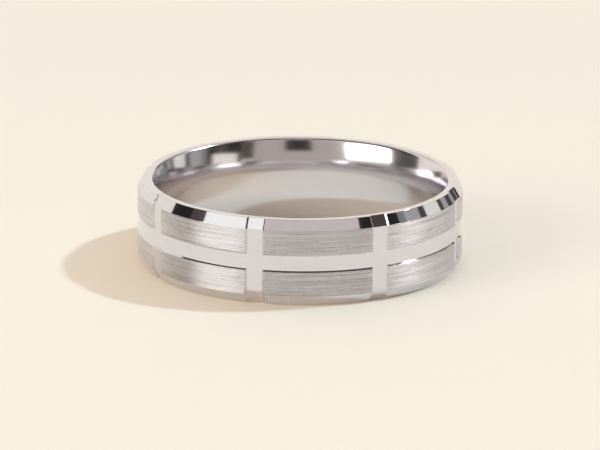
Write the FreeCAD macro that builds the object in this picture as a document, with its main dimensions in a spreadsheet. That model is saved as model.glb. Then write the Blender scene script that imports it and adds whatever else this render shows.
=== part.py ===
import FreeCAD, Part
import math
import os

import Sketcher

# Wedding band, lying on its edge: the finger axis is +Z, the lower edge is at z = 0, millimetres.
# Azimuth 0 faces -Y, and azimuths grow towards +X.

DIMENSIONS = {
    "band_width": 6.0,  # edge to edge along the finger axis
    "outer_radius": 11.3,  # flat outer face with the brushed blocks
    "bevel_height": 0.7,  # each bevel, measured along the finger axis
    "bevel_inset": 0.42,  # each bevel, measured along the radius
    "rim_inner_radius": 10.46,  # where the flat edge face ends and its inner corner round begins
    "corner_round": 0.25,  # round between the flat edge face and the domed bore
    "bore_radius": 9.72,  # narrowest part of the comfort-fit bore, US size 9.5
    "bore_land": 1.2,  # length of the straight part of the bore
    "ring_groove_floor": 1.04,  # floor width of the groove that runs round the band
    "ring_groove_depth": 0.1,
    "channel_floor": 1.09,  # floor width of the channels that cross the band
    "channel_depth": 0.12,
    "channel_count": 8,
    "first_channel_angle": -15.8,  # azimuth of the first channel, degrees
    "top_facet_depth": 0.12,  # how far the channels cut into the upper bevel, square to it
    "long_facet_depth": 0.22,  # the same in the lower bevel, at the first channel and every second one
    "short_facet_depth": 0.12,  # the same in the lower bevel, at the channels between
    "cutter_clearance": 0.8,  # how far each cutter's outline stands clear of the metal
    "facet_cut_length": 4.0,  # travel of the cutter that makes a facet
}
SMALLEST_CUT = 1e-4  # mm3, below which a cut counts as having missed the metal


def add_sheet(doc):
    """The spreadsheet that drives every size, one dimension to a row."""
    sheet = doc.addObject("Spreadsheet::Sheet", "sizes")
    for row, (alias, value) in enumerate(DIMENSIONS.items(), start=1):
        sheet.set(f"A{row}", alias)
        sheet.set(f"B{row}", str(value))
        sheet.setAlias(f"B{row}", alias)
    doc.recompute()
    return sheet


def origin_feature(body, role):
    """The body's own origin plane or axis with this role."""
    return next(item for item in body.Origin.OriginFeatures if item.Role == role)


def add_sketch(body, name, plane):
    """An empty sketch on one of the body's origin planes."""
    sketch = body.newObject("Sketcher::SketchObject", name)
    sketch.AttachmentSupport = [(origin_feature(body, plane), "")]
    sketch.MapMode = "FlatFace"
    return sketch


def bind(sketch, constraint, name, formula):
    """Adds a named constraint whose value follows a formula in the sheet's dimensions."""
    index = sketch.addConstraint(constraint)
    sketch.renameConstraint(index, name)
    sketch.setExpression(f"Constraints.{name}", formula)


def add_corners(sketch, corners):
    """A closed outline of straight lines through the corners."""
    count = len(corners)
    for index, (x, y) in enumerate(corners):
        next_x, next_y = corners[(index + 1) % count]
        start = FreeCAD.Vector(x, y, 0)
        end = FreeCAD.Vector(next_x, next_y, 0)
        sketch.addGeometry(Part.LineSegment(start, end), False)
    for index in range(count):
        sketch.addConstraint(Sketcher.Constraint("Coincident", index, 2, (index + 1) % count, 1))


def section_sketch(body):
    """Half section of the plain band: bevels, flat edge faces, corner rounds and the domed bore."""
    size = DIMENSIONS
    width = size["band_width"]
    middle = width / 2
    outer = size["outer_radius"]
    rim_outer = outer - size["bevel_inset"]
    rim_inner = size["rim_inner_radius"]
    bore = size["bore_radius"]
    corner = size["corner_round"]
    half_land = size["bore_land"] / 2

    # The dome is tangent to the land and to the corner round, which fixes its radius.
    rise = rim_inner - bore
    run = middle - corner - half_land
    dome = (rise**2 + run**2 - corner**2) / (2 * (rise - corner))
    dome_end = math.asin(run / (dome - corner))

    sketch = add_sketch(body, "section", "XZ_Plane")
    top = [(rim_outer, width), (outer, width - size["bevel_height"])]
    base = [(outer, size["bevel_height"]), (rim_outer, 0)]
    outline = [(rim_inner, width), *top, *base, (rim_inner, 0)]
    for (x, z), (next_x, next_z) in zip(outline, outline[1:]):
        start = FreeCAD.Vector(x, z, 0)
        end = FreeCAD.Vector(next_x, next_z, 0)
        sketch.addGeometry(Part.LineSegment(start, end), False)
    top_rim, top_bevel, face, base_bevel, base_rim = range(5)

    def add_arc(x, z, radius, first, last):
        circle = Part.Circle(FreeCAD.Vector(x, z, 0), FreeCAD.Vector(0, 0, 1), radius)
        return sketch.addGeometry(Part.ArcOfCircle(circle, first, last), False)

    base_corner = add_arc(rim_inner, corner, corner, math.pi + dome_end, 1.5 * math.pi)
    base_dome = add_arc(bore + dome, middle - half_land, dome, math.pi, math.pi + dome_end)
    land_start = FreeCAD.Vector(bore, middle - half_land, 0)
    land_end = FreeCAD.Vector(bore, middle + half_land, 0)
    land = sketch.addGeometry(Part.LineSegment(land_start, land_end), False)
    top_dome = add_arc(bore + dome, middle + half_land, dome, math.pi - dome_end, math.pi)
    top_corner = add_arc(rim_inner, width - corner, corner, 0.5 * math.pi, math.pi - dome_end)

    for line in (top_rim, base_rim):
        sketch.addConstraint(Sketcher.Constraint("Horizontal", line))
    for line in (face, land):
        sketch.addConstraint(Sketcher.Constraint("Vertical", line))
    for line in (top_rim, top_bevel, face, base_bevel):
        sketch.addConstraint(Sketcher.Constraint("Coincident", line, 2, line + 1, 1))
    tangents = [
        (base_rim, 2, base_corner, 2),
        (base_corner, 1, base_dome, 2),
        (base_dome, 1, land, 1),
        (land, 2, top_dome, 2),
        (top_dome, 1, top_corner, 2),
        (top_corner, 1, top_rim, 1),
    ]
    for first, first_end, second, second_end in tangents:
        sketch.addConstraint(Sketcher.Constraint("Tangent", first, first_end, second, second_end))

    origin = (-1, 1)
    across = "DistanceX"
    along = "DistanceY"
    land_place = "(sizes.band_width - sizes.bore_land) / 2"
    named = [
        ("outer_face", across, (*origin, face, 1), outer, "sizes.outer_radius"),
        ("top_rim_outer", across, (top_bevel, 1, face, 1), outer - rim_outer, "sizes.bevel_inset"),
        ("base_rim_outer", across, (base_rim, 1, face, 1), outer - rim_outer, "sizes.bevel_inset"),
        ("top_rim_inner", across, (*origin, top_rim, 1), rim_inner, "sizes.rim_inner_radius"),
        ("base_rim_inner", across, (*origin, base_rim, 2), rim_inner, "sizes.rim_inner_radius"),
        ("bore_wall", across, (*origin, land, 1), bore, "sizes.bore_radius"),
        ("base_level", along, (*origin, base_rim, 2), 0, "0"),
        ("width", along, (base_rim, 2, top_rim, 1), width, "sizes.band_width"),
        ("top_bevel_drop", along, (face, 1, top_rim, 1), size["bevel_height"], "sizes.bevel_height"),
        ("base_bevel_rise", along, (base_rim, 2, face, 2), size["bevel_height"], "sizes.bevel_height"),
        ("land_base", along, (*origin, land, 1), middle - half_land, land_place),
        ("land_length", along, (land, 1, land, 2), 2 * half_land, "sizes.bore_land"),
        ("top_corner_radius", "Radius", (top_corner,), corner, "sizes.corner_round"),
        ("base_corner_radius", "Radius", (base_corner,), corner, "sizes.corner_round"),
    ]
    for name, kind, ends, value, formula in named:
        bind(sketch, Sketcher.Constraint(kind, *ends, value), name, formula)
    return sketch


def ring_groove_sketch(body):
    """Section of the groove round the band: a flat floor between walls that slope out at 45 degrees."""
    size = DIMENSIONS
    middle = size["band_width"] / 2
    floor_radius = size["outer_radius"] - size["ring_groove_depth"]
    mouth_radius = size["outer_radius"] + size["cutter_clearance"]
    half_floor = size["ring_groove_floor"] / 2
    half_mouth = half_floor + mouth_radius - floor_radius
    sketch = add_sketch(body, "ring_groove_section", "XZ_Plane")
    add_corners(
        sketch,
        [
            (floor_radius, middle - half_floor),
            (mouth_radius, middle - half_mouth),
            (mouth_radius, middle + half_mouth),
            (floor_radius, middle + half_floor),
        ],
    )
    mouth, floor = 1, 3
    for line in (mouth, floor):
        sketch.addConstraint(Sketcher.Constraint("Vertical", line))
    floor_formula = "sizes.outer_radius - sizes.ring_groove_depth"
    mouth_formula = "sizes.outer_radius + sizes.cutter_clearance"
    base_formula = "(sizes.band_width - sizes.ring_groove_floor) / 2"
    spread_formula = "sizes.ring_groove_depth + sizes.cutter_clearance"
    spread = half_mouth - half_floor
    named = [
        ("floor_radius", "DistanceX", (-1, 1, floor, 1), floor_radius, floor_formula),
        ("mouth_radius", "DistanceX", (-1, 1, mouth, 1), mouth_radius, mouth_formula),
        ("floor_base", "DistanceY", (-1, 1, floor, 2), middle - half_floor, base_formula),
        ("floor_width", "DistanceY", (floor, 2, floor, 1), 2 * half_floor, "sizes.ring_groove_floor"),
        ("base_spread", "DistanceY", (mouth, 1, floor, 2), spread, spread_formula),
        ("top_spread", "DistanceY", (floor, 1, mouth, 2), spread, spread_formula),
    ]
    for name, kind, ends, value, formula in named:
        bind(sketch, Sketcher.Constraint(kind, *ends, value), name, formula)
    return sketch


def cutter_sketch(body, name, floor_place, depth):
    """Section of a crossing cutter at azimuth 0, with 45 degree walls. The floor lies at floor_place along
    the sketch's Y, and the cutter opens towards -Y, symmetric about that axis. floor_place and depth are
    each a value and its formula."""
    floor_y, floor_formula = floor_place
    depth_value, depth_formula = depth
    half_floor = DIMENSIONS["channel_floor"] / 2
    spread = depth_value + DIMENSIONS["cutter_clearance"]
    sketch = add_sketch(body, name, "XY_Plane")
    add_corners(
        sketch,
        [
            (-half_floor, floor_y),
            (-half_floor - spread, floor_y - spread),
            (half_floor + spread, floor_y - spread),
            (half_floor, floor_y),
        ],
    )
    mouth, floor = 1, 3
    for line in (mouth, floor):
        sketch.addConstraint(Sketcher.Constraint("Horizontal", line))
    spread_formula = f"{depth_formula} + sizes.cutter_clearance"
    named = [
        ("floor_right", "DistanceX", (-1, 1, floor, 1), half_floor, "sizes.channel_floor / 2"),
        ("floor_width", "DistanceX", (floor, 2, floor, 1), 2 * half_floor, "sizes.channel_floor"),
        ("left_spread", "DistanceX", (mouth, 1, floor, 2), spread, spread_formula),
        ("right_spread", "DistanceX", (floor, 1, mouth, 2), spread, spread_formula),
        ("mouth_place", "DistanceY", (mouth, 1, floor, 2), spread, spread_formula),
        ("floor_place", "DistanceY", (-1, 1, floor, 1), floor_y, floor_formula),
    ]
    for constraint_name, kind, ends, value, formula in named:
        bind(sketch, Sketcher.Constraint(kind, *ends, value), constraint_name, formula)
    return sketch


def pocket(body, name, sketch, kind):
    """A pocket cut both ways from its sketch: 'ThroughAll', or 'Length' for the facet cutter's travel."""
    cut = body.newObject("PartDesign::Pocket", name)
    cut.Profile = sketch
    cut.SideType = "Symmetric"
    cut.Type = kind
    if kind == "Length":
        cut.setExpression("Length", "sizes.facet_cut_length")
    return cut


def polar_pattern(body, name, features, count_formula):
    """Repeats the features evenly round the finger axis."""
    pattern = body.newObject("PartDesign::PolarPattern", name)
    pattern.Originals = features
    pattern.Axis = (origin_feature(body, "Z_Axis"), [""])
    pattern.Angle = 360
    pattern.setExpression("Occurrences", count_formula)
    body.Tip = pattern
    return pattern


def check_cut(doc, body, volume_before, name):
    """Recomputes, and stops if the named feature took no metal away."""
    doc.recompute()
    volume = body.Shape.Volume
    if volume >= volume_before - SMALLEST_CUT:
        raise RuntimeError(f"{name} removed nothing")
    print(f"{name}: {volume_before:.3f} -> {volume:.3f} mm3")
    return volume


def add_channels(doc, body, volume):
    """The flat-bottomed channels that cross the outer face."""
    size = DIMENSIONS
    depth = (size["channel_depth"], "sizes.channel_depth")
    floor_y = size["channel_depth"] - size["outer_radius"]
    floor_place = (floor_y, "sizes.channel_depth - sizes.outer_radius")
    sketch = cutter_sketch(body, "channel_section", floor_place, depth)
    cut = pocket(body, "channel", sketch, "ThroughAll")
    doc.recompute()
    polar_pattern(body, "channels", [cut], "sizes.channel_count")
    return check_cut(doc, body, volume, "channels")


def add_facets(doc, body, volume, name, edge, depth_name, steps, count_formula):
    """Facets where the channels run out through a bevel. The sketch stands on the bevel's outer line,
    square to the bevel, and is turned on by a number of channel steps; edge is 'top' or 'base'."""
    size = DIMENSIONS
    depth = (size[depth_name], f"sizes.{depth_name}")
    sketch = cutter_sketch(body, f"{name}_section", depth, depth)
    tilt = math.degrees(math.atan(size["bevel_inset"] / size["bevel_height"]))
    is_top = edge == "top"
    lean = FreeCAD.Rotation(FreeCAD.Vector(-1 if is_top else 1, 0, 0), tilt)
    turn = FreeCAD.Rotation(FreeCAD.Vector(0, 0, 1), steps * 360 / size["channel_count"])
    line_height = "sizes.band_width - sizes.bevel_height" if is_top else "sizes.bevel_height"
    step_angle = f"({steps} * 360 deg / sizes.channel_count)"
    sketch.AttachmentOffset = FreeCAD.Placement(FreeCAD.Vector(0, 0, 0), turn * lean)
    sketch.setExpression(".AttachmentOffset.Base.x", f"sizes.outer_radius * sin({step_angle})")
    sketch.setExpression(".AttachmentOffset.Base.y", f"-sizes.outer_radius * cos({step_angle})")
    sketch.setExpression(".AttachmentOffset.Base.z", line_height)
    cut = pocket(body, name, sketch, "Length")
    doc.recompute()
    polar_pattern(body, f"{name}s", [cut], count_formula)
    return check_cut(doc, body, volume, f"{name}s")


def add_band(doc):
    """The band: a turned blank, the groove round it, then the crossing channels and their facets."""
    body = doc.addObject("PartDesign::Body", "band")
    body.Label = "band"

    blank = body.newObject("PartDesign::Revolution", "blank")
    blank.Profile = section_sketch(body)
    blank.ReferenceAxis = (origin_feature(body, "Z_Axis"), [""])
    blank.Angle = 360
    doc.recompute()
    volume = body.Shape.Volume

    groove = body.newObject("PartDesign::Groove", "ring_groove")
    groove.Profile = ring_groove_sketch(body)
    groove.ReferenceAxis = (origin_feature(body, "Z_Axis"), [""])
    groove.Angle = 360
    volume = check_cut(doc, body, volume, "ring groove")

    volume = add_channels(doc, body, volume)
    every = "sizes.channel_count"
    half = "sizes.channel_count / 2"
    volume = add_facets(doc, body, volume, "top_facet", "top", "top_facet_depth", 0, every)
    volume = add_facets(doc, body, volume, "long_facet", "base", "long_facet_depth", 0, half)
    add_facets(doc, body, volume, "short_facet", "base", "short_facet_depth", 1, half)

    upright = FreeCAD.Rotation(FreeCAD.Vector(0, 0, 1), DIMENSIONS["first_channel_angle"])
    body.Placement = FreeCAD.Placement(FreeCAD.Vector(0, 0, 0), upright)
    return body


def check_document(doc, bodies):
    """Stops if any object failed to compute, or a body isn't one valid solid."""
    doc.recompute()
    for item in doc.Objects:
        if {"Invalid", "Error"} & set(item.State):
            raise RuntimeError(f"{item.Name} failed: {item.State}")
    for body in bodies:
        shape = body.Shape
        if shape.isNull() or not shape.isValid() or len(shape.Solids) != 1:
            raise RuntimeError(f"{body.Label} is not one valid solid")
        box = shape.optimalBoundingBox(True, False)
        extents = f"{box.XLength:.3f} x {box.YLength:.3f} x {box.ZLength:.3f} mm"
        print(f"{body.Label}: {extents}, {shape.Volume:.2f} mm3")


def main():
    doc = FreeCAD.newDocument("wedding_band")
    add_sheet(doc)
    bodies = [add_band(doc)]
    check_document(doc, bodies)
    os.makedirs("parts", exist_ok=True)
    for body in bodies:
        body.Shape.exportStep(f"parts/{body.Label}.step")


main()
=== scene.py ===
import math

import bpy
import numpy as np
from mathutils import Matrix, Vector


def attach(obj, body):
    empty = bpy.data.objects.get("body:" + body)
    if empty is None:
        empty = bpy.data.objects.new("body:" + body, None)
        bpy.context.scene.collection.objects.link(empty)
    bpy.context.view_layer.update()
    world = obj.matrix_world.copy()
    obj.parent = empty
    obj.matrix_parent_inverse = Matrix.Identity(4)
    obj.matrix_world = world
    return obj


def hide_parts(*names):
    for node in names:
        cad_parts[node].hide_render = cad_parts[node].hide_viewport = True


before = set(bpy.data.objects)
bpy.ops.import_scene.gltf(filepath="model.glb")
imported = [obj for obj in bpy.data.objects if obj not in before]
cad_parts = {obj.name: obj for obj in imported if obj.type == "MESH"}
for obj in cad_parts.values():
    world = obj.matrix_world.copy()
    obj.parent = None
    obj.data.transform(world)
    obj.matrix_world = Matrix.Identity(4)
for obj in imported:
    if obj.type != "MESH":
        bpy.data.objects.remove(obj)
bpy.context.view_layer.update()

# Wedding band, lying on its edge. The frame is in metres; the band's own sizes below are in millimetres.
# Azimuth 0 faces -Y, towards the camera, and azimuths grow towards +X.
MM = 0.001

# The turned section.
WIDTH = 6.0
OUTER = 11.3
BEVEL_HEIGHT = 0.70
BEVEL_INSET = 0.42
RIM_INNER = 10.46
CORNER = 0.25
BORE = 9.72
HALF_LAND = 0.60
BEVEL_TILT = math.atan(BEVEL_INSET / BEVEL_HEIGHT)

# The groove round the band and the channels across it, all with 45 degree walls.
GROOVE_FLOOR = 1.04
GROOVE_DEPTH = 0.10
CHANNEL_FLOOR = 1.09
CHANNEL_DEPTH = 0.12
CHANNELS = 8
FIRST_CHANNEL = math.radians(-15.8)
TOP_FACET = 0.12
LONG_FACET = 0.22
SHORT_FACET = 0.12

# How far each sharp edge is eased, and the mesh's rows at such an edge, in EDGE_ROUNDs from its line.
EDGE_ROUND = 0.006
RIM_ROUND = 0.035
EDGE_ROWS = (-4.5, -2, -0.9, 0, 0.9, 2, 4.5)

# How finely the mesh follows each face, and how far from a face's edges its own rows and columns begin.
WALL_COLUMNS = 19
FLOOR_COLUMNS = 6
BLOCK_COLUMNS = 36
FACE_ROWS = 5
RIM_STEPS = 2
DOME_STEPS = 14
ROUND_STEPS = 5
FLOOR_MARGIN = 0.02
FACE_MARGIN = 0.04

# How near the full radius a face has to be to count as one of the brushed blocks.
BLOCK_TOLERANCE = 0.004

# White gold, as linear colours. The polished faces, the bore and the brushed blocks each vary between two,
# and the milled walls vary between MILLED_SHADE and GOLD_LOW; MILLED_SHADE is darker as painted shade in the
# channels.
GOLD_LOW = (0.735, 0.735, 0.80)
GOLD_HIGH = (0.755, 0.753, 0.81)
BORE_LOW = (0.75, 0.738, 0.775)
BORE_HIGH = (0.765, 0.753, 0.79)
BRUSHED_LOW = (0.465, 0.46, 0.5)
BRUSHED_HIGH = (0.85, 0.835, 0.89)
MILLED_SHADE = (0.56, 0.55, 0.59)

# Each finish's roughness, at its smoothest and its haziest, and what a nick in the brushing adds to it.
LAPPED_ROUGHNESS = (0.04, 0.08)
BUFFED_ROUGHNESS = (0.13, 0.17)
MILLED_ROUGHNESS = (0.22, 0.34)
BRUSHED_ROUGHNESS = (0.23, 0.34)
NICK_ROUGHNESS = 0.16

# The lines and nicks, as noise cells for each millimetre round the ring and up it (the third axis stays
# at 0), and the depth of the polishing and of the fine brushed lines, in millimetres. The broad lines and
# the nicks are deeper than the fine ones by their factors.
POLISH_LINES = (0.5, 18.0, 1.0)
FINE_LINES = (0.25, 18.0, 1.0)
BROAD_LINES = (0.1, 11.0, 1.0)
NICKS = (4.0, 15.0, 1.0)
POLISH_DEPTH = 0.00002
BRUSH_DEPTH = 0.018
BROAD_FACTOR = 1.8
NICK_FACTOR = 1.3

# The card the ring lies on, as linear colours. It varies between the first two, and darkens into the third,
# a painted shade, over CARD_FADE millimetres back from the ring's axis. The floor's radius and its gap below
# the ring are in metres.
CARD_LOW = (0.925, 0.812, 0.635)
CARD_HIGH = (0.93, 0.817, 0.64)
CARD_FAR_SHADE = (0.89, 0.785, 0.62)
CARD_FADE = 60.0
FLOOR_SIDES = 96
FLOOR_RADIUS = 0.6
FLOOR_GAP = 0.00001

# What stands round the ring: each colour holds from its azimuth, in degrees, to the next one's.
WALL = (0.98, 0.89, 0.79)
WHITE = (1.14, 1.12, 1.02)
MID = (0.69, 0.61, 0.56)
DIM = (0.50, 0.44, 0.40)
BRIGHT = (3.9, 3.75, 3.5)
SHADE = (0.1, 0.09, 0.085)
PALE = (0.88, 0.86, 0.77)
BLACK = (0.025, 0.022, 0.021)
BROWN = (0.085, 0.068, 0.062)
GREY = (0.43, 0.415, 0.39)
DARK_GREY = (0.25, 0.24, 0.22)
STUDIO = [
    (-180, WALL),
    (-108, BLACK),
    (-90, BROWN),
    (-80, WHITE),
    (-32, MID),
    (48, BLACK),
    (62, BROWN),
    (72, BLACK),
    (81, DARK_GREY),
    (86, GREY),
    (99, BROWN),
    (105, PALE),
    (119, BROWN),
    (123, GREY),
    (129, BROWN),
    (134, GREY),
    (141, BROWN),
    (152, WALL),
]

# Single patches over that: azimuths, elevations, softness of the edge, all in degrees, and the colour. A
# value past 180 degrees of azimuth, or 90 of elevation, leaves a patch without an edge on that side.
PATCHES = [
    (-400, 400, -91, 2, 2.0, WALL),
    (-108, -78, 2, 20, 1.0, SHADE),
    (-78, -38, 2, 9, 1.0, DIM),
    (-78, -38, 9, 31, 1.0, BRIGHT),
    (-38, 39, -10, 38, 1.0, DIM),
    (39, 49, 8, 36, 0.6, BROWN),
    (53, 76, 2, 17, 1.0, WALL),
    (-9, 13, 19, 38, 1.5, BLACK),
    (-114, -80, 41, 53, 1.0, BROWN),
    (-400, 400, 52, 91, 2.0, BROWN),
    (100, 160, 33, 54, 2.0, BROWN),
    (116, 400, 26, 91, 3.0, MID),
    (-400, -135, 26, 91, 3.0, MID),
    (-400, 400, 80, 91, 2.0, MID),
    (112, 141, 23, 44, 2.0, DARK_GREY),
]

# The lamps: degrees, watts for each square metre, and linear colours. The key lights the card and throws
# the shadow, the glint is the same lamp as the metal mirrors it, and the fill is a wide one for the card.
KEY_AZIMUTH = 106
KEY_ELEVATION = 46
KEY_WIDTH = 4
KEY_STRENGTH = 1.72
KEY_COLOUR = (0.52, 0.74, 1.0)
GLINT_AZIMUTH = 108
GLINT_ELEVATION = 45
GLINT_WIDTH = 4
GLINT_STRENGTH = 1.8
GLINT_COLOUR = (1.0, 0.96, 0.94)
FILL_AZIMUTH = -20
FILL_ELEVATION = 64
FILL_WIDTH = 110
FILL_STRENGTH = 1.16
FILL_COLOUR = (0.83, 0.866, 1.0)

# How often light may bounce, which lets the bore mirror itself.
BOUNCES = 16
GLOSSY_BOUNCES = 12

# The camera: millimetres for the lens, the sensor and the aim, degrees, and metres for the distance.
LENS = 345
SENSOR = 36
CAMERA_ELEVATION = 16.1
CAMERA_ROLL = 0.53
CAMERA_DISTANCE = 0.4
AIM_BELOW = 0.47


def soft_min(a, b, reach):
    """The lower of a and b, with the corner between them eased over reach."""
    blend = np.clip(reach - np.abs(a - b), 0, None) / reach
    return np.minimum(a, b) - blend**2 * reach / 4


def soft_max(a, b, reach):
    """The higher of a and b, eased in the same way."""
    return -soft_min(-a, -b, reach)


def bevel_radius(height_from_edge):
    """Radius of a bevel's cone at a height above its own edge face."""
    return OUTER - BEVEL_INSET + height_from_edge * BEVEL_INSET / BEVEL_HEIGHT


def outer_radius(azimuth, z):
    """Radius of the finished outer face, for arrays of azimuth and height."""
    radius = np.full_like(z, OUTER)
    radius = soft_min(radius, bevel_radius(WIDTH - z), EDGE_ROUND)
    radius = soft_min(radius, bevel_radius(z), EDGE_ROUND)

    # The groove: its floor, or the 45 degree wall beyond the floor's edge.
    beyond = np.abs(z - WIDTH / 2) - GROOVE_FLOOR / 2
    groove = OUTER - GROOVE_DEPTH + soft_max(beyond, np.zeros_like(z), EDGE_ROUND / 2)
    radius = soft_min(radius, groove, EDGE_ROUND)

    # The nearest channel, and how far round from its middle each point lies.
    step = 2 * math.pi / CHANNELS
    number = np.round((azimuth - FIRST_CHANNEL) / step)
    turn = azimuth - FIRST_CHANNEL - number * step
    is_long = np.mod(number, 2) == 0
    lower_facet = np.where(is_long, LONG_FACET, SHORT_FACET)
    cos_turn = np.cos(turn)
    sin_turn = np.abs(np.sin(turn))
    half_floor = CHANNEL_FLOOR / 2

    def cut(depth_radius, slope):
        """Radius of a flat floor whose normal leans by slope, or of its 45 degree wall."""
        floor = depth_radius / cos_turn
        lean = math.cos(slope)
        wall = (depth_radius * lean - half_floor) / (cos_turn * lean - sin_turn)
        return soft_max(floor, wall, EDGE_ROUND / 2)

    channel = cut(np.full_like(z, OUTER - CHANNEL_DEPTH), 0)
    upper = cut(bevel_radius(WIDTH - z) - TOP_FACET / math.cos(BEVEL_TILT), BEVEL_TILT)
    lower = cut(bevel_radius(z) - lower_facet / math.cos(BEVEL_TILT), BEVEL_TILT)
    for each in (channel, upper, lower):
        radius = soft_min(radius, each, EDGE_ROUND)
    return radius


def column_azimuths():
    """Azimuths of the mesh's columns: close together across the channels' walls, wider on the blocks."""
    wall_start = (CHANNEL_FLOOR / 2 - FLOOR_MARGIN) / OUTER
    wall_end = (CHANNEL_FLOOR / 2 + LONG_FACET + FACE_MARGIN) / OUTER
    step = 2 * math.pi / CHANNELS
    wall = np.linspace(wall_start, wall_end, WALL_COLUMNS)
    floor = np.linspace(-wall_start, wall_start, FLOOR_COLUMNS)[1:-1]
    block = np.linspace(wall_end, step - wall_end, BLOCK_COLUMNS)[1:-1]
    one_channel = np.concatenate([-wall[::-1], floor, wall, block])
    return np.concatenate([FIRST_CHANNEL + number * step + one_channel for number in range(CHANNELS)])


def outer_heights(lowest):
    """Heights of the mesh's rows on the outer face: close together at each edge that runs round the band."""
    floor_edge = WIDTH / 2 - GROOVE_FLOOR / 2
    bevel_edge = BEVEL_HEIGHT
    rise = BEVEL_HEIGHT / BEVEL_INSET
    channel_end = bevel_edge + (SHORT_FACET / math.cos(BEVEL_TILT) - CHANNEL_DEPTH) * rise
    long_end = bevel_edge + (LONG_FACET / math.cos(BEVEL_TILT) - CHANNEL_DEPTH) * rise
    edges = [bevel_edge, channel_end, long_end, floor_edge - GROOVE_DEPTH, floor_edge]
    near = EDGE_ROUND * np.array(EDGE_ROWS)
    heights = [edge + near for edge in edges]
    heights.append(np.linspace(lowest, bevel_edge - FACE_MARGIN, FACE_ROWS))
    heights.append(np.linspace(long_end + FACE_MARGIN, floor_edge - GROOVE_DEPTH - FACE_MARGIN, FACE_ROWS))
    lower_half = np.concatenate(heights)
    both = np.concatenate([lower_half, WIDTH - lower_half, [WIDTH / 2]])
    return np.unique(both.round(4))


# The domed bore: an arc tangent to the straight land and to the corner round.
DOME_RISE = RIM_INNER - BORE
DOME_RUN = WIDTH / 2 - CORNER - HALF_LAND
DOME = (DOME_RISE**2 + DOME_RUN**2 - CORNER**2) / (2 * (DOME_RISE - CORNER))
DOME_END = math.asin(DOME_RUN / (DOME - CORNER))

# Where the round on the rim's outer edge leaves the rim and the bevel.
RIM_TANGENT = RIM_ROUND * math.tan((math.pi / 2 - BEVEL_TILT) / 2)
RIM_DROP = RIM_TANGENT * math.cos(BEVEL_TILT)


def section_point(azimuth, side, stretch, place):
    """Radius and height of one mesh row. On the outer face place is the height, and on every other stretch
    of the section it runs from 0, on the bevel's side, to 1. side is 1 for the upper half and -1 for the
    lower."""
    middle = WIDTH / 2
    if stretch == "outer":
        return outer_radius(azimuth, np.full_like(azimuth, place)), place
    if stretch in ("edge", "rim"):
        rim_outer = outer_radius(azimuth, np.full_like(azimuth, middle + side * middle)) - RIM_TANGENT
        if stretch == "rim":
            return rim_outer + place * (RIM_INNER - rim_outer), middle + side * middle
        angle = BEVEL_TILT + place * (math.pi / 2 - BEVEL_TILT)
        radius = rim_outer + RIM_ROUND * math.cos(angle)
        height = middle - RIM_ROUND + RIM_ROUND * math.sin(angle)
    elif stretch == "corner":
        angle = math.pi / 2 + place * (math.pi / 2 - DOME_END)
        radius = RIM_INNER + CORNER * math.cos(angle)
        height = middle - CORNER + CORNER * math.sin(angle)
    elif stretch == "dome":
        angle = math.pi - DOME_END * (1 - place)
        radius = BORE + DOME + DOME * math.cos(angle)
        height = HALF_LAND + DOME * math.sin(angle)
    else:
        radius = BORE
        height = HALF_LAND * (1 - place)
    return np.full_like(azimuth, 1) * radius, middle + side * height


def section_rows():
    """The mesh's rows, once round the section: up the outer face, in over the top, down the bore and out."""
    stretches = {"edge": ROUND_STEPS, "rim": RIM_STEPS, "corner": ROUND_STEPS + 1, "dome": DOME_STEPS}
    inwards = [(name, (number + 1) / steps) for name, steps in stretches.items() for number in range(steps)]
    rows = [(1, "outer", height) for height in outer_heights(RIM_DROP)]
    rows += [(1, name, place) for name, place in inwards]
    rows.append((1, "land", 1))
    rows += [(-1, name, place) for name, place in reversed(inwards)]
    return rows


def on_ring(azimuth, radius, height):
    """Points in the frame, as rows of x, y and z."""
    height = np.full_like(azimuth, height)
    return np.stack([radius * np.sin(azimuth), -radius * np.cos(azimuth), height], axis=-1)


def ring_grid():
    """Every vertex and its normal, as arrays of rows by columns. The normals come from the section itself, a
    small turn and a small slide to both sides of each vertex."""
    azimuths = column_azimuths()
    turn = 1e-6
    slide = 1e-4
    points = []
    normals = []
    for side, stretch, place in section_rows():
        points.append(on_ring(azimuths, *section_point(azimuths, side, stretch, place)))
        ahead = on_ring(azimuths + turn, *section_point(azimuths + turn, side, stretch, place))
        behind = on_ring(azimuths - turn, *section_point(azimuths - turn, side, stretch, place))
        after = on_ring(azimuths, *section_point(azimuths, side, stretch, place + slide))
        before = on_ring(azimuths, *section_point(azimuths, side, stretch, place - slide))
        normal = np.cross(ahead - behind, (after - before) * side)
        normals.append(normal / np.linalg.norm(normal, axis=-1, keepdims=True))
    return np.array(points), np.array(normals)


def on_channel_wall(points, radii):
    """True for each point on a channel's wall, between the two bevels."""
    step = 2 * math.pi / CHANNELS
    turn = np.arctan2(points[:, 0], -points[:, 1]) - FIRST_CHANNEL
    aside = np.abs(turn - step * np.round(turn / step)) * OUTER
    is_outer = np.abs(points[:, 2] - WIDTH / 2) < WIDTH / 2 - BEVEL_HEIGHT
    beside_floor = (aside > CHANNEL_FLOOR / 2) & (aside < CHANNEL_FLOOR / 2 + CHANNEL_DEPTH)
    off_floor = radii > OUTER - CHANNEL_DEPTH + 2 * BLOCK_TOLERANCE
    above_groove = np.abs(points[:, 2] - WIDTH / 2) > GROOVE_FLOOR / 2 + GROOVE_DEPTH
    return is_outer & beside_floor & off_floor & above_groove & (radii <= OUTER - BLOCK_TOLERANCE)


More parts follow.
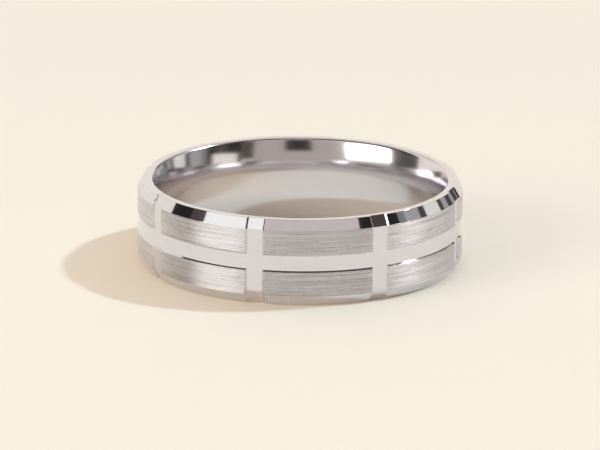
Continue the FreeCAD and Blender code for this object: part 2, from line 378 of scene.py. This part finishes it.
def make_band(lapped, brushed, buffed, milled_shaded):
    """The whole ring as one closed mesh. The materials are for its polished faces, the brushed blocks, the
    bore and the channels' walls, whose darker colour is painted shade."""
    points, normals = ring_grid()
    rows, columns = points.shape[:2]
    number = np.arange(rows * columns).reshape(rows, columns)
    right = np.roll(number, -1, axis=1)
    above = np.roll(number, -1, axis=0)
    faces = np.stack([number, right, np.roll(right, -1, axis=0), above], axis=-1).reshape(-1, 4)

    mesh = bpy.data.meshes.new("ring_band")
    mesh.from_pydata((points.reshape(-1, 3) * MM).tolist(), [], faces.tolist())
    for material in (lapped, brushed, buffed, milled_shaded):
        mesh.materials.append(material)
    middles = points.reshape(-1, 3)[faces].mean(axis=1)
    radii = np.hypot(middles[:, 0], middles[:, 1])
    is_block = radii > OUTER - BLOCK_TOLERANCE
    is_bore = radii < RIM_INNER
    is_shaded_wall = on_channel_wall(middles, radii)
    mesh.polygons.foreach_set("material_index", (is_block + 2 * is_bore + 3 * is_shaded_wall).astype(np.int32))
    mesh.shade_smooth()
    mesh.update()
    mesh.normals_split_custom_set_from_vertices(normals.reshape(-1, 3).tolist())
    band = bpy.data.objects.new("ring_band", mesh)
    bpy.context.scene.collection.objects.link(band)
    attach(band, "root")
    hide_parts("band")


class Nodes:
    """Builds one node tree. add returns the new node, split returns its outputs, and every other method
    returns its output socket."""

    # The colour sockets of a Mix node, which share their names with sockets of other kinds.
    MIX_INPUTS = (6, 7)
    MIX_OUTPUT = 2

    def __init__(self, tree):
        tree.nodes.clear()
        self.tree = tree

    def add(self, kind, inputs=None, **settings):
        node = self.tree.nodes.new(kind)
        for name, value in settings.items():
            setattr(node, name, value)
        for name, value in (inputs or {}).items():
            socket = node.inputs[name]
            if isinstance(value, bpy.types.NodeSocket):
                self.tree.links.new(value, socket)
            else:
                socket.default_value = value
        return node

    def math(self, operation, first, second=0.0):
        return self.add("ShaderNodeMath", {0: first, 1: second}, operation=operation).outputs[0]

    def spread(self, value, low, high, to_low=0.0, to_high=1.0, smooth=False):
        """value, from low to high, carried over to to_low to to_high, and held beyond them."""
        inputs = {"Value": value, "From Min": low, "From Max": high, "To Min": to_low, "To Max": to_high}
        blend = "SMOOTHSTEP" if smooth else "LINEAR"
        return self.add("ShaderNodeMapRange", inputs, interpolation_type=blend, clamp=True).outputs["Result"]

    def mix(self, amount, first, second):
        """A blend of two colours, each a socket or three numbers."""
        inputs = {"Factor": amount}
        for place, value in zip(self.MIX_INPUTS, (first, second)):
            inputs[place] = value if isinstance(value, bpy.types.NodeSocket) else (*value, 1)
        return self.add("ShaderNodeMix", inputs, data_type="RGBA").outputs[self.MIX_OUTPUT]

    def noise(self, vector, scale, detail=2.0, roughness=0.5):
        inputs = {"Vector": vector, "Scale": scale, "Detail": detail, "Roughness": roughness}
        return self.add("ShaderNodeTexNoise", inputs, normalize=True).outputs["Fac"]

    def scaled(self, vector, factors):
        inputs = {0: vector, 1: factors}
        return self.add("ShaderNodeVectorMath", inputs, operation="MULTIPLY").outputs[0]

    def split(self, vector):
        return self.add("ShaderNodeSeparateXYZ", {"Vector": vector}).outputs

    def joined(self, x, y, z):
        return self.add("ShaderNodeCombineXYZ", {"X": x, "Y": y, "Z": z}).outputs[0]

    def bump(self, height, distance, strength=1.0):
        """A normal from height, whose full range stands distance millimetres proud."""
        inputs = {"Height": height, "Strength": strength, "Distance": distance * MM}
        return self.add("ShaderNodeBump", inputs).outputs[0]

    def millimetres(self):
        """The place on the object, in millimetres."""
        place = self.add("ShaderNodeTexCoord").outputs["Object"]
        return self.scaled(place, (1 / MM, 1 / MM, 1 / MM))


def new_material(name):
    """A new material, and the builder of its node tree."""
    material = bpy.data.materials.new(name)
    material.use_nodes = True
    return material, Nodes(material.node_tree)


def finish_material(nodes, inputs):
    """Adds the surface shader, with these inputs, and the output."""
    shader = nodes.add("ShaderNodeBsdfPrincipled", inputs)
    output = nodes.add("ShaderNodeOutputMaterial")
    nodes.tree.links.new(shader.outputs[0], output.inputs["Surface"])


def round_the_ring(nodes):
    """Millimetres round the outer face, and height. The seam lies in the middle of a channel."""
    place = nodes.add("ShaderNodeTexCoord").outputs["Object"]
    turn = FIRST_CHANNEL + math.pi
    turned = nodes.add("ShaderNodeVectorRotate", {"Vector": place, "Angle": -turn}, rotation_type="Z_AXIS")
    x, y, z = nodes.split(turned.outputs[0])
    azimuth = nodes.math("ARCTAN2", x, y)
    along = nodes.math("MULTIPLY", azimuth, OUTER)
    return nodes.joined(along, nodes.math("DIVIDE", z, MM), 0.0)


def polished_metal(name, low, high, roughnesses):
    """Polished white gold: faint cloudiness between two colours, and haze between two roughnesses."""
    material, nodes = new_material(name)
    place = nodes.millimetres()
    clouds = nodes.noise(place, 0.9, 3.0)
    haze = nodes.noise(place, 6.0, 3.0, 0.6)
    around = round_the_ring(nodes)
    lines = nodes.noise(nodes.scaled(around, POLISH_LINES), 1.0, 3.0, 0.6)
    colour = nodes.mix(nodes.spread(clouds, 0.35, 0.65), low, high)
    roughness = nodes.spread(haze, 0.3, 0.75, *roughnesses)
    normal = nodes.bump(lines, POLISH_DEPTH)
    finish_material(nodes, {"Base Color": colour, "Metallic": 1.0, "Roughness": roughness, "Normal": normal})
    return material


def shaded_milled_metal():
    """The channels' cut walls: rougher than the polished faces, and a little darker in colour as painted
    shade.
    """
    material, nodes = new_material("milled_white_gold_painted_shade")
    grain = nodes.noise(nodes.scaled(nodes.millimetres(), (6.0, 6.0, 1.5)), 1.0, 3.0, 0.6)
    # Painted shade: the walls' colour runs darker than the polished faces'.
    colour = nodes.mix(nodes.spread(grain, 0.3, 0.7), MILLED_SHADE, GOLD_LOW)
    roughness = nodes.spread(grain, 0.3, 0.7, *MILLED_ROUGHNESS)
    finish_material(nodes, {"Base Color": colour, "Metallic": 1.0, "Roughness": roughness})
    return material


def brushed_metal():
    """Satin-brushed white gold: fine lines that run round the ring, and short nicks that catch the light."""
    material, nodes = new_material("brushed_white_gold")
    around = round_the_ring(nodes)
    fine = nodes.noise(nodes.scaled(around, FINE_LINES), 1.0, 2.0, 0.6)
    broad = nodes.noise(nodes.scaled(around, BROAD_LINES), 1.0, 2.0, 0.5)
    nicks = nodes.noise(nodes.scaled(around, NICKS), 1.0, 1.0, 0.5)
    height = nodes.math("ADD", nodes.math("MULTIPLY", broad, BROAD_FACTOR), fine)
    height = nodes.math("ADD", height, nodes.math("MULTIPLY", nicks, NICK_FACTOR))
    streak = nodes.math("ADD", nodes.math("MULTIPLY", fine, 0.4), nodes.math("MULTIPLY", broad, 0.6))
    nicked = nodes.spread(nicks, 0.58, 0.66, 0.0, NICK_ROUGHNESS)
    roughness = nodes.math("ADD", nodes.spread(streak, 0.32, 0.68, *BRUSHED_ROUGHNESS), nicked)
    colour = nodes.mix(nodes.spread(streak, 0.35, 0.65), BRUSHED_LOW, BRUSHED_HIGH)
    tangent = nodes.add("ShaderNodeTangent", direction_type="RADIAL", axis="Z")
    finish_material(
        nodes,
        {
            "Base Color": colour,
            "Metallic": 1.0,
            "Roughness": roughness,
            "Anisotropic": 1.0,
            "Anisotropic Rotation": 0.25,
            "Normal": nodes.bump(height, BRUSH_DEPTH),
            "Tangent": tangent.outputs[0],
        },
    )
    return material


def paper():
    """Pale, warm, matt card for the floor, darkened towards the back by painted shade, with a barely visible
    tooth.
    """
    material, nodes = new_material("pale_card")
    place = nodes.millimetres()
    mottle = nodes.noise(place, 0.35, 4.0, 0.6)
    colour = nodes.mix(nodes.spread(mottle, 0.3, 0.7), CARD_LOW, CARD_HIGH)
    # Painted shade: the card's colour darkens towards the back.
    behind = nodes.split(place)[1]
    colour = nodes.mix(nodes.spread(behind, 0.0, CARD_FADE), colour, CARD_FAR_SHADE)
    tooth = nodes.noise(place, 1.6, 4.0, 0.6)
    normal = nodes.bump(tooth, 0.05, strength=0.3)
    finish_material(nodes, {"Base Color": colour, "Roughness": 0.9, "Normal": normal})
    return material


def add_floor():
    """A round sheet of card far larger than the view."""
    mesh = bpy.data.meshes.new("floor")
    angles = np.linspace(0, 2 * math.pi, FLOOR_SIDES, endpoint=False)
    rim = [(FLOOR_RADIUS * math.cos(angle), FLOOR_RADIUS * math.sin(angle), -FLOOR_GAP) for angle in angles]
    mesh.from_pydata(rim, [], [list(range(len(rim)))])
    mesh.materials.append(paper())
    floor = bpy.data.objects.new("floor", mesh)
    bpy.context.scene.collection.objects.link(floor)


def towards(azimuth, elevation):
    """Unit vector in a direction given in degrees."""
    across = math.radians(azimuth)
    up = math.radians(elevation)
    return Vector((math.sin(across) * math.cos(up), -math.cos(across) * math.cos(up), math.sin(up)))


def add_studio():
    """The studio as the polished metal mirrors it: softboxes, walls and dark cards, by their direction."""
    world = bpy.data.worlds.new("studio")
    bpy.context.scene.world = world
    world.use_nodes = True
    nodes = Nodes(world.node_tree)
    direction = nodes.add("ShaderNodeTexCoord").outputs["Generated"]
    x, y, z = nodes.split(direction)
    azimuth = nodes.math("ARCTAN2", x, nodes.math("MULTIPLY", y, -1.0))
    azimuth = nodes.math("MULTIPLY", azimuth, 180 / math.pi)
    elevation = nodes.math("MULTIPLY", nodes.math("ARCSINE", z), 180 / math.pi)

    ring = nodes.add("ShaderNodeValToRGB", {"Fac": nodes.spread(azimuth, -180, 180)})
    ring.color_ramp.interpolation = "CONSTANT"
    stops = ring.color_ramp.elements
    for number, (start, colour) in enumerate(STUDIO):
        stop = stops[number] if number < 2 else stops.new(1)
        stop.position = (start + 180) / 360
        stop.color = (*colour, 1)
    colour = ring.outputs[0]

    def between(value, low, high, edge):
        rising = nodes.spread(value, low - edge, low + edge, smooth=True)
        falling = nodes.spread(value, high - edge, high + edge, 1.0, 0.0, smooth=True)
        return nodes.math("MULTIPLY", rising, falling)

    for low_azimuth, high_azimuth, low, high, edge, patch in PATCHES:
        across = between(azimuth, low_azimuth, high_azimuth, edge)
        amount = nodes.math("MULTIPLY", across, between(elevation, low, high, edge))
        colour = nodes.mix(amount, colour, patch)
    background = nodes.add("ShaderNodeBackground", {"Color": colour, "Strength": 1.0})
    output = nodes.add("ShaderNodeOutputWorld")
    nodes.tree.links.new(background.outputs[0], output.inputs["Surface"])


def add_lamp(name, direction, width, strength, colour, on_metal):
    """A lamp so far off that its light comes from one direction, width degrees across. It reaches either the
    metal, as a reflection, or the card."""
    light = bpy.data.lights.new(name, "SUN")
    light.energy = strength
    light.color = colour
    light.angle = math.radians(width)
    lamp = bpy.data.objects.new(name, light)
    lamp.rotation_mode = "QUATERNION"
    lamp.rotation_quaternion = direction.to_track_quat("Z", "Y")
    lamp.visible_diffuse = not on_metal
    lamp.visible_glossy = on_metal
    bpy.context.scene.collection.objects.link(lamp)


def add_camera():
    """A long lens looking down at the ring, which sits a little above the middle of the view."""
    data = bpy.data.cameras.new("camera")
    data.sensor_width = SENSOR
    data.lens = LENS
    data.clip_start = 0.01
    data.clip_end = 10
    camera = bpy.data.objects.new("camera", data)
    back = towards(0, CAMERA_ELEVATION)
    right = Vector((1, 0, 0))
    turn = Matrix.Rotation(math.radians(CAMERA_ROLL), 3, back)
    up = turn @ back.cross(right)
    right = turn @ right
    aim = Vector((0, 0, WIDTH / 2 * MM)) - up * AIM_BELOW * MM
    facing = Matrix((right, up, back)).transposed().to_4x4()
    camera.matrix_world = Matrix.Translation(aim + back * CAMERA_DISTANCE) @ facing
    bpy.context.scene.collection.objects.link(camera)
    bpy.context.scene.camera = camera


def main():
    add_camera()
    lapped = polished_metal("lapped_white_gold", GOLD_LOW, GOLD_HIGH, LAPPED_ROUGHNESS)
    buffed = polished_metal("buffed_white_gold", BORE_LOW, BORE_HIGH, BUFFED_ROUGHNESS)
    make_band(lapped, brushed_metal(), buffed, shaded_milled_metal())
    add_floor()
    add_studio()
    key = towards(KEY_AZIMUTH, KEY_ELEVATION)
    glint = towards(GLINT_AZIMUTH, GLINT_ELEVATION)
    fill = towards(FILL_AZIMUTH, FILL_ELEVATION)
    add_lamp("key", key, KEY_WIDTH, KEY_STRENGTH, KEY_COLOUR, on_metal=False)
    add_lamp("glint", glint, GLINT_WIDTH, GLINT_STRENGTH, GLINT_COLOUR, on_metal=True)
    add_lamp("fill", fill, FILL_WIDTH, FILL_STRENGTH, FILL_COLOUR, on_metal=False)
    scene = bpy.context.scene
    scene.view_settings.view_transform = "Standard"
    scene.cycles.max_bounces = BOUNCES
    scene.cycles.glossy_bounces = GLOSSY_BOUNCES


main()
